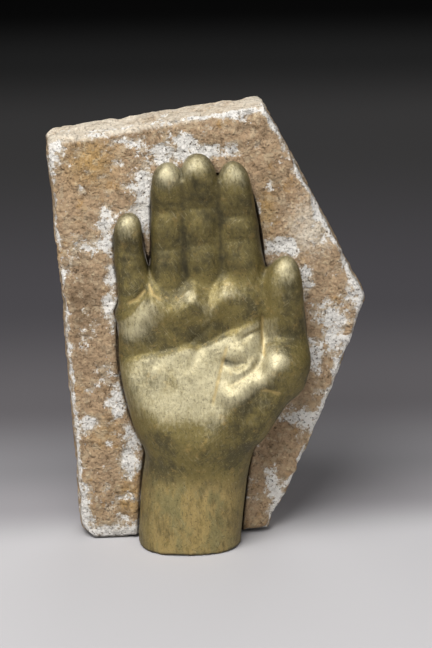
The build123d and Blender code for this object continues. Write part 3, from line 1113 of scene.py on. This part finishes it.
@dataclass
class BackingSlab:
    """The five-sided slab with the hand's pocket in its face, sized in mm in the modelling frame.

    The slip has come off in the bare patches, is yellower in the ochre ones and is darkened by handling and
    damp in the soil ones. Every side but the first is joined on with its fillet, and bowed at its middle.
    """

    hand: HandCasting
    step: float = 1.15
    low: Point3 = (-86.0, -2.4, -2.4)
    high: Point3 = (110.0, 34.4, 274.0)
    thickness: float = 32.0
    corners: Stations = ((-67.6, 0.0), (49.9, 0.0), (109.4, 150.4), (45.6, 272.4), (-85.0, 253.6))
    side_fillets: tuple[float, ...] = (4.0, 4.0, 5.0, 9.0)
    bows: tuple[float, ...] = (0.0, 2.0, 0.3, 0.2, -1.0)
    edge_radius: float = 4.4
    edge_ragged: float = 1.3
    gap: float = 1.15
    gap_shift: float = 0.6
    least_sink: float = 0.1
    bare_sink: float = 0.7
    swell_sink: float = 0.6
    crumb_sink: float = 0.6
    plate_sink: float = 0.45
    # Painted shade on the slab in the cleft between the little and ring fingers
    cleft: Patch = Patch((-24.6, 175.0), (3.4, 7.0))
    pale: Patch = Patch((72.0, 196.0), (16.0, 22.0), 0.7)
    bare: tuple[Patch, ...] = (
        Patch((4.0, 244.5), (25.0, 6.0), 1.1),
        Patch((-1.5, 250.0), (11.0, 5.0), 1.2),
        Patch((-26.0, 216.0), (4.5, 22.0), 0.95),
        Patch((-49.0, 198.0), (6.0, 12.0), 0.85),
        Patch((57.0, 184.0), (11.0, 7.0)),
        Patch((71.0, 166.0), (6.0, 11.0)),
        Patch((74.0, 196.0), (12.0, 16.0), 0.45),
        Patch((18.0, 268.0), (30.0, 5.0), 1.2),
        Patch((100.0, 160.0), (7.0, 12.0), 0.6),
        Patch((89.0, 126.0), (7.0, 15.0), 0.9),
        Patch((77.0, 112.0), (6.0, 11.0), 0.9),
        Patch((72.0, 76.0), (12.0, 9.0)),
        Patch((-62.0, 77.0), (6.0, 6.0), 0.9),
        Patch((-44.0, 86.0), (7.0, 13.0), 0.75),
        Patch((-38.0, 52.0), (5.0, 12.0), 0.7),
        Patch((-52.0, 3.0), (18.0, 6.0), 0.9),
        Patch((-66.0, 18.0), (5.0, 18.0), 0.9),
        Patch((53.0, 22.0), (6.0, 14.0), 0.9),
        Patch((-47.0, 152.0), (5.0, 18.0), 0.85),
        Patch((-71.0, 170.0), (6.0, 14.0), 0.55),
        Patch((-80.0, 246.0), (8.0, 8.0)),
    )
    ochre: tuple[Patch, ...] = (
        Patch((-58.0, 240.0), (16.0, 16.0), 0.8),
        Patch((-37.0, 26.0), (9.0, 13.0), 0.9),
        Patch((46.0, 206.0), (6.0, 16.0), 0.8),
        Patch((-52.0, 70.0), (12.0, 12.0), 0.5),
    )
    soil: tuple[Patch, ...] = (
        Patch((-64.0, 150.0), (14.0, 28.0), 0.8),
        Patch((-50.0, 108.0), (12.0, 12.0), 0.6),
        Patch((52.0, 222.0), (12.0, 18.0), 0.7),
        Patch((52.0, 45.0), (14.0, 22.0), 0.3),
    )

    def outline(self, x: Array, z: Array) -> Array:
        """The greatest distance from the five sides, each moved out by 4 * bow * s * (1 - s) along its run.

        Args:
            x, z: places in mm.

        Returns:
            Distance in mm, below zero inside, with rounded corners.
        """
        points = np.asarray(self.corners)
        sides = []
        for start, end, bow in zip(points, np.roll(points, -1, axis=0), self.bows):
            length = np.hypot(*(end - start))
            way = (end - start) / length
            share = np.clip((way[0] * (x - start[0]) + way[1] * (z - start[1])) / length, 0.0, 1.0)
            off = way[1] * (x - start[0]) - way[0] * (z - start[1])
            sides.append(off - 4.0 * bow * share * (1.0 - share))
        total = sides[0]
        for side, fillet in zip(sides[1:], self.side_fillets):
            total = cut(total, -side, fillet)
        return total

    def block(self, x: Array, y: Array, z: Array) -> Array:
        """The slab before its pocket: the outline carried through, with ragged sides and rounded edges.

        Args:
            x, y, z: places in mm.

        Returns:
            Distance in mm, below zero inside.
        """
        ragged = self.edge_ragged * smoothstep(GrainNoise(41).layered(x, y, z, 11.0, 3), -0.2, 0.5)
        side = self.outline(x, z) + ragged + self.edge_radius
        face = np.maximum(-y, y - self.thickness) + self.edge_radius
        corner = np.hypot(np.maximum(side, 0.0), np.maximum(face, 0.0))
        return corner + np.minimum(np.maximum(side, face), 0.0) - self.edge_radius

    def coat(self, points: Array) -> Array:
        """How much slip is left at points: less in patches and near edges, broken up by noise.

        Args:
            points: places in mm.

        Returns:
            1 where the slip is whole and 0 where the plaster is bare.
        """
        x, y, z = points.T
        broad = GrainNoise(21).layered(x, y, z, 26.0, 4)
        small = GrainNoise(22).layered(x, y, z, 7.0, 3)
        face = smoothstep(y, 6.0, 0.5)
        edge = 0.6 * smoothstep(self.outline(x, z), -6.0, -2.0) * smoothstep(y, 14.0, 3.0)
        edge = edge * (1.0 - 0.6 * self.dusty(x, z))
        rim = smoothstep(self.hand.form(x, np.full_like(y, -3.0), z), 9.0, 2.0) * face
        left = 0.84 - strongest(self.bare, x, z) * face - edge - 0.12 * rim + 0.50 * broad + 0.75 * small
        return np.clip(left, 0.0, 1.0)

    def dusty(self, x: Array, z: Array) -> Array:
        """How much pale dust lies on the upper side: 1 at its line and none 9 mm below it."""
        right, left = self.corners[3], self.corners[4]
        line = left[1] + (x - left[0]) * (right[1] - left[1]) / (right[0] - left[0])
        return smoothstep(z - line, -9.0, -1.5)

    def sink(self, points: Array, coat: Array, swell: Array) -> Array:
        """How deep the surface is pressed in: by lost slip, broad swells, crumbs and two plates of slip.

        Args:
            points: vertices in mm.
            coat: how much slip is left at them.
            swell: the broad noise at them.

        Returns:
            Depth in mm, none against the hand and at the foot.
        """
        x, y, z = points.T
        crumb = GrainNoise(32).layered(x, y, z, 5.0, 3)
        plates = GrainNoise(33).layered(x, y, z, 12.0, 3)
        lost = smoothstep(plates, 0.0, 0.07) + smoothstep(plates, 0.24, 0.31)
        open_air = smoothstep(self.hand.form(x, y, z), 1.0, 3.5) * smoothstep(z, 0.0, 2.0)
        depth = self.least_sink + self.bare_sink * (1.0 - smoothstep(coat, 0.4, 0.6))
        depth = depth + self.swell_sink * (0.6 + swell) + self.crumb_sink * (1.0 + crumb)
        return open_air * (depth + self.plate_sink * lost)

    def wear(self, points: Array, coat: Array, swell: Array) -> dict[Field, Array]:
        """Fields of the finish at the slab's vertices.

        Args:
            points: vertices in mm, before they are pressed in.
            coat: how much slip is left at them.
            swell: the broad noise at them.

        Returns:
            Bare, ochre and soiled shares, the painted shade in the gap, the cleft and along the foot, and the
            dust, each from 0 to 1.
        """
        x, y, z = points.T
        near_face = smoothstep(y, 8.0, 2.0)
        # Painted shade deep in the gap round the hand, stronger on the right, away from the light
        wall = smoothstep(self.hand.form(x - self.gap_shift, y, z), 2.3, 1.5) * smoothstep(y, 0.0, 2.5)
        wall = wall * (0.6 + 0.4 * smoothstep(x, -30.0, 15.0))
        # Painted shade in the gap and the cleft, and a painted contact shadow along the foot
        shade_and_dirt = wall + self.cleft.share(x, z) * near_face + 0.8 * smoothstep(z, 2.4, 0.6)
        dust = self.dusty(x, z) * (0.8 + 0.5 * swell) + self.pale.share(x, z) * near_face
        return {
            Field.BARE: 1.0 - coat,
            Field.OCHRE: np.clip(strongest(self.ochre, x, z) + 0.3 * swell, 0.0, 1.0),
            Field.SOIL: strongest(self.soil, x, z),
            Field.SHADE_AND_DIRT: np.clip(shade_and_dirt, 0.0, 1.0),
            Field.PALE_AND_HIGHLIGHT: np.clip(dust, 0.0, 1.0),
        }

    def build(self) -> Object:
        """Meshes the slab, then presses its vertices in along their normals where the slip is off or pitted.

        Returns:
            The slab, without its finish.
        """
        lattice = Lattice(self.low, self.high, self.step)
        x, y, z = lattice.axes()
        pocket = self.hand.form(x - self.gap_shift, y, z) - self.gap
        points, faces = lattice.surface(cut(self.block(x, y, z), pocket, fillet=1.2))
        coat = self.coat(points)
        swell = GrainNoise(31).layered(*points.T, 34.0, 3)
        pressed = points - self.normals(points, faces) * self.sink(points, coat, swell)[:, None]
        return make_piece("dressed_slab", Datum().place(pressed), faces, self.wear(points, coat, swell))

    @staticmethod
    def normals(points: Array, faces: Array) -> Array:
        """Unit normals at the vertices: the cross products of the diagonals of the quads round each, summed.

        Args:
            points: vertices in mm.
            faces: quads of vertex numbers.

        Returns:
            One normal per vertex.
        """
        corner = [points[faces[:, k]] for k in range(4)]
        diagonals = np.cross(corner[2] - corner[0], corner[3] - corner[1])
        weights = np.repeat(diagonals, 4, axis=0).T
        total = np.stack([np.bincount(faces.ravel(), weight, len(points)) for weight in weights], axis=1)
        return total / np.maximum(np.linalg.norm(total, axis=1, keepdims=True), 1e-9)

    def dress(self) -> Object:
        """Builds the slab and gives it its finish."""
        piece = self.build()
        piece.data.materials.append(SlipCoat().material())
        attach(piece, "root")
        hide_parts("backing_slab")
        return piece


@dataclass(frozen=True)
class PlasterBed:
    """The bedding between hand and slab, which keeps its solid's shape."""

    node: str = "plaster_bed"

    def dress(self) -> Object:
        """Gives the bedding its finish."""
        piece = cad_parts[self.node]
        piece.data.materials.clear()
        piece.data.materials.append(BarePlaster().material())
        log.info("%s: kept with a plaster finish", self.node)
        return piece


# Studio


@dataclass(frozen=True)
class PaperSweep:
    """Seamless paper: a level floor, a wide bend and a wall behind, in metres."""

    half_width: float = 2.4
    front: float = -2.0
    bend_start: float = 2.2
    bend_radius: float = 0.6
    top: float = 2.2
    rows: int = 161
    columns: int = 25

    def build(self) -> Object:
        """The profile of floor, quarter bend and wall, carried straight across.

        Returns:
            The sweep.
        """
        run = np.linspace(0.0, 1.0, self.rows)
        floor = self.bend_start - self.front
        bend = QUARTER_TURN * self.bend_radius
        wall = self.top - self.bend_radius
        length = run * (floor + bend + wall)
        angle = np.clip((length - floor) / self.bend_radius, 0.0, QUARTER_TURN)
        y = self.front + np.minimum(length, floor) + self.bend_radius * np.sin(angle)
        z = self.bend_radius * (1.0 - np.cos(angle)) + np.maximum(length - floor - bend, 0.0)
        x = np.linspace(-self.half_width, self.half_width, self.columns)
        points = np.stack(np.broadcast_arrays(x[:, None], y[None], z[None]), axis=-1).reshape(-1, 3)
        i, j = np.meshgrid(np.arange(self.columns - 1), np.arange(self.rows - 1), indexing="ij")
        corner = (i * self.rows + j).ravel()
        faces = np.stack([corner, corner + self.rows, corner + self.rows + 1, corner + 1], axis=1)
        sweep = make_piece("paper_sweep", points, faces, {Field.RUN: np.tile(run, self.columns)})
        sweep.data.materials.append(StudioPaper().material())
        return sweep


@dataclass(frozen=True)
class SoftLight:
    """A square soft box: where it hangs and what it points at, in metres, its side and its power."""

    name: str
    place: Point3
    aim: Point3
    side: float
    power: float

    def hang(self) -> Object:
        """Hangs the light."""
        lamp = bpy.data.lights.new(self.name, "AREA")
        lamp.size = self.side
        lamp.energy = self.power
        light = bpy.data.objects.new(self.name, lamp)
        way = Vector(self.aim) - Vector(self.place)
        light.location = self.place
        light.rotation_euler = way.to_track_quat("-Z", "Y").to_euler()
        bpy.context.scene.collection.objects.link(light)
        return light


@dataclass(frozen=True)
class Viewpoint:
    """The camera, aimed at a point of the slab's face, in the modelling frame's mm and in degrees."""

    aim: Point3 = (16.1, 0.0, 137.7)
    distance: float = 1458.0
    azimuth: float = -5.0
    elevation: float = 18.0
    lens: float = 135.0
    sensor: float = 36.0
    clip_end: float = 20.0

    def set_up(self) -> Object:
        """Makes the camera and gives it to the scene."""
        turn, lift = math.radians(self.azimuth), math.radians(self.elevation)
        back = np.array([math.sin(turn) * math.cos(lift), -math.cos(turn) * math.cos(lift), math.sin(lift)])
        data = bpy.data.cameras.new("camera")
        data.lens = self.lens
        data.sensor_width = self.sensor
        data.clip_end = self.clip_end
        camera = bpy.data.objects.new("camera", data)
        camera.location = Datum().place(np.array(self.aim) + self.distance * back)
        camera.rotation_euler = (QUARTER_TURN - lift, 0.0, turn)
        bpy.context.scene.collection.objects.link(camera)
        bpy.context.scene.camera = camera
        return camera


@dataclass(frozen=True)
class Studio:
    """Paper, soft boxes, surrounding light and camera."""

    lights: tuple[SoftLight, ...] = (
        SoftLight("key", (-0.46, -0.75, 1.27), (0.0, 0.0, 0.12), 1.1, 36.0),
        SoftLight("fill", (0.75, -1.4, 0.8), (0.0, 0.0, 0.12), 1.2, 6.0),
        SoftLight("back", (0.45, 1.5, 1.2), (0.0, 0.0, 0.15), 1.0, 9.0),
    )
    surround: str = "#8C8C90"
    surround_strength: float = 0.16

    def set_up(self) -> None:
        """Sets the studio up round the object."""
        PaperSweep().build()
        for light in self.lights:
            light.hang()
        world = bpy.data.worlds.new("surround")
        bpy.context.scene.world = world
        world.use_nodes = True
        background = world.node_tree.nodes["Background"]
        background.inputs["Color"].default_value = linear(self.surround)
        background.inputs["Strength"].default_value = self.surround_strength
        bpy.context.scene.view_settings.view_transform = "Standard"
        Viewpoint().set_up()


def main() -> None:
    """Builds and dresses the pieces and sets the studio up."""
    logging.basicConfig(level=logging.INFO, format="%(name)s: %(message)s")
    hand = HandCasting()
    for piece in (hand, BackingSlab(hand), PlasterBed()):
        piece.dress()
    Studio().set_up()
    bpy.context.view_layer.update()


if __name__ == "__main__":
    main()
